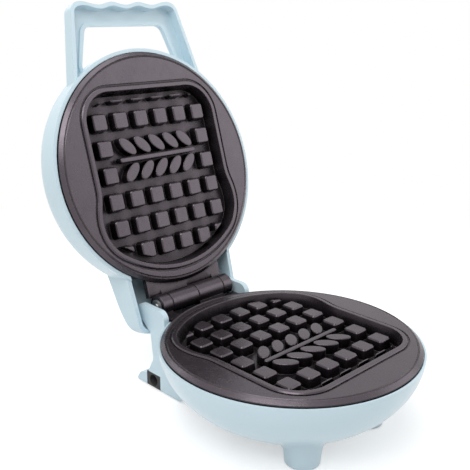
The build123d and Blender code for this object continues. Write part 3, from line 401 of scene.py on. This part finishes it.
def finish(name, colour, gloss, grain_scale, grain_depth, round_over=0.0003, edge=None, hollow_shade=None,
           cloud=None, plain=None):
    """A material: gloss is (scale, low, high), round_over the radius that edges look rounded by, edge
    is (size, amount, colour) for lighter edges, partly wear and partly painted highlight, the shade for
    hollows is (size, amount, colour) for painted shade where little light gets in, cloud is (scale,
    colour), and plain is {socket name: value} for the shader's own sockets."""
    material = bpy.data.materials.new(name)
    material.use_nodes = True
    tree = material.node_tree
    shader = tree.nodes["Principled BSDF"]
    for label, value in (plain or {}).items():
        shader.inputs[label].default_value = value
    base = colour
    if cloud:
        scale, other = cloud
        patch = between(tree, object_noise(tree, scale), 0.0, 1.0, patch_low, patch_high)
        base = tinted(tree, patch, base, other)
    # Painted shade: the colour darkens in hollows where little light gets in.
    if hollow_shade:
        size, amount, other = hollow_shade
        base = tinted(tree, effect(tree, painted_hollow_shade, distance=size, amount=amount), base, other)
    # Lighter edge colour, partly wear and partly painted highlight.
    if edge:
        size, amount, other = edge
        base = tinted(tree, effect(tree, edges, radius=size, amount=amount), base, other)
    if isinstance(base, tuple):
        shader.inputs["Base Color"].default_value = (*base, 1.0)
    else:
        tree.links.new(base, shader.inputs["Base Color"])
    scale, low, high = gloss
    tree.links.new(effect(tree, uneven, scale=scale, low=low, high=high), shader.inputs["Roughness"])
    height = effect(tree, grain, scale=grain_scale, height=1.0)
    tree.links.new(bumped(tree, height, grain_depth, round_over), shader.inputs["Normal"])
    return material


# %% Moulded blue plastic
pale_blue = (0.600, 0.755, 0.830)
shell_finish = finish(
    "pale_blue_moulding", pale_blue, gloss=(20.0, 0.28, 0.32), grain_scale=400.0, grain_depth=0.000004,
    round_over=0.0, plain={"Coat Weight": 0.15, "Coat Roughness": 0.20})
print("made:", shell_finish.name)

# %% Non-stick coating
# Its lighter edge colour is partly wear and partly painted highlight, and its near-black hollow colour is
# painted shade.
plate_finish = finish(
    "nonstick_coating", (0.086, 0.073, 0.086), gloss=(220.0, 0.22, 0.30), grain_scale=2600.0,
    grain_depth=0.00003, round_over=0.0005, edge=(0.0006, 0.35, (0.24, 0.21, 0.225)),
    hollow_shade=(0.009, 1.0, (0.006, 0.004, 0.005)), cloud=(70.0, (0.093, 0.079, 0.091)),
    plain={"Metallic": 0.75, "Specular IOR Level": 0.4})
print("made:", plate_finish.name)

# %% Rubber
# Its lighter edge colour is partly wear and partly painted highlight.
rubber_finish = finish(
    "soft_rubber", (0.028, 0.028, 0.030), gloss=(300.0, 0.62, 0.80), grain_scale=3000.0,
    grain_depth=0.00004, edge=(0.0005, 0.5, (0.07, 0.07, 0.072)), cloud=(200.0, (0.036, 0.036, 0.037)))
print("made:", rubber_finish.name)

# %% Steels and sheet
# Their lighter edge colours are partly wear and partly painted highlight.
pin_finish = finish(
    "ground_pin", (0.34, 0.34, 0.34), gloss=(500.0, 0.30, 0.44), grain_scale=4000.0, grain_depth=0.00001,
    edge=(0.0003, 0.4, (0.52, 0.52, 0.51)), plain={"Metallic": 1.0})
zinc_finish = finish(
    "zinc_plate", (0.60, 0.60, 0.57), gloss=(350.0, 0.28, 0.46), grain_scale=3500.0, grain_depth=0.00002,
    edge=(0.0003, 0.6, (0.82, 0.82, 0.80)), cloud=(180.0, (0.66, 0.64, 0.55)), plain={"Metallic": 1.0})
sheet_finish = finish(
    "rolled_sheet", (0.78, 0.78, 0.78), gloss=(160.0, 0.18, 0.34), grain_scale=1400.0, grain_depth=0.00003,
    edge=(0.0003, 0.5, (0.92, 0.92, 0.92)), cloud=(60.0, (0.70, 0.70, 0.71)), plain={"Metallic": 1.0})
heater_finish = finish(
    "heat_tinted_tube", (0.30, 0.26, 0.24), gloss=(260.0, 0.34, 0.52), grain_scale=2600.0,
    grain_depth=0.00003, edge=(0.0003, 0.4, (0.5, 0.47, 0.44)), cloud=(90.0, (0.22, 0.20, 0.26)),
    plain={"Metallic": 1.0})
print("made:", pin_finish.name, zinc_finish.name, sheet_finish.name, heater_finish.name)

# %% Ceramic, sleeve, lamp and holder
# The ceramic's darker hollows are painted shade, and its lighter edges are partly wear and partly painted
# highlight.
ceramic_finish = finish(
    "unglazed_ceramic", (0.82, 0.80, 0.75), gloss=(400.0, 0.55, 0.72), grain_scale=2200.0,
    grain_depth=0.00006, edge=(0.0004, 0.4, (0.9, 0.89, 0.86)), hollow_shade=(0.003, 0.4, (0.55, 0.52, 0.47)))
# The holder's lighter edges are partly wear and partly painted highlight.
holder_finish = finish(
    "heatproof_holder", (0.80, 0.78, 0.72), gloss=(200.0, 0.42, 0.55), grain_scale=1800.0,
    grain_depth=0.00003, edge=(0.0004, 0.4, (0.88, 0.87, 0.83)))
sleeve_finish = finish(
    "woven_sleeve", (0.72, 0.69, 0.62), gloss=(900.0, 0.70, 0.88), grain_scale=5200.0, grain_depth=0.0002,
    cloud=(1400.0, (0.60, 0.57, 0.50)))
lens_finish = finish(
    "red_lens", (0.62, 0.03, 0.03), gloss=(120.0, 0.06, 0.12), grain_scale=700.0, grain_depth=0.00002,
    plain={"Transmission Weight": 0.7, "IOR": 1.49})
lamp_finish = finish(
    "lamp_glass", (0.95, 0.93, 0.90), gloss=(150.0, 0.03, 0.07), grain_scale=900.0, grain_depth=0.00001,
    plain={"Transmission Weight": 0.9, "IOR": 1.5})
print("finishes:", len(bpy.data.materials))

# %% Which finish each piece of the frame has
finishes = {
    "shell_blue": shell_finish,
    "nonstick_grey": plate_finish,
    "black_rubber": rubber_finish,
    "heater_steel": heater_finish,
    "zinc_plate": zinc_finish,
    "bright_sheet": sheet_finish,
    "ceramic_white": ceramic_finish,
    "lead_sleeve": sleeve_finish,
    "pin_steel": pin_finish,
    "lens_red": lens_finish,
    "lamp_glass": lamp_finish,
    "holder_plastic": holder_finish,
}
for part in frame["record"]["subparts"]:
    body = frame["nodes"][part["node"]]
    body.data.materials.clear()
    body.data.materials.append(finishes[part["material_slot"]])

# %% [markdown]
# The construction arrives as loose triangles, so every curved wall would show its facets. Each
# piece therefore gets a closed copy: corners that share a place are joined, faces that meet at a
# shallow angle are shaded as one surface, and larger faces count for more in the shading of a
# corner they share, which keeps flat walls flat beside their rounded edges.

# %% Closed, smoothly shaded copies
join_within = 0.000002
crease_angle = math.radians(32.0)


def closed_copy(node, body, dress):
    """A joined, smooth copy of a node that stands in for it and moves with the same body."""
    source = frame["nodes"][node]
    form = bmesh.new()
    form.from_mesh(source.data)
    form.transform(source.matrix_world)
    bmesh.ops.remove_doubles(form, verts=form.verts, dist=join_within)
    for face in form.faces:
        face.smooth = True
    for edge in form.edges:
        edge.smooth = edge.is_manifold and edge.calc_face_angle() < crease_angle
    mesh = bpy.data.meshes.new(node + "_finished")
    form.to_mesh(mesh)
    form.free()
    mesh.materials.append(dress)
    copy = bpy.data.objects.new(node + "_finished", mesh)
    bpy.context.scene.collection.objects.link(copy)
    weigh = copy.modifiers.new("weigh_normals", "WEIGHTED_NORMAL")
    weigh.keep_sharp = True
    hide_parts(node)
    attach(copy, body)
    return copy


copies = {}
bodies = frame["record"]["behaviour"]["bodies"]
body_of_node = {node: body for body, nodes in bodies.items() for node in nodes}
for part in frame["record"]["subparts"]:
    node = part["node"]
    copies[node] = closed_copy(node, body_of_node[node], finishes[part["material_slot"]])
largest = max(len(copy.data.polygons) for copy in copies.values())
print("closed copies:", len(copies), "largest:", largest, "faces")
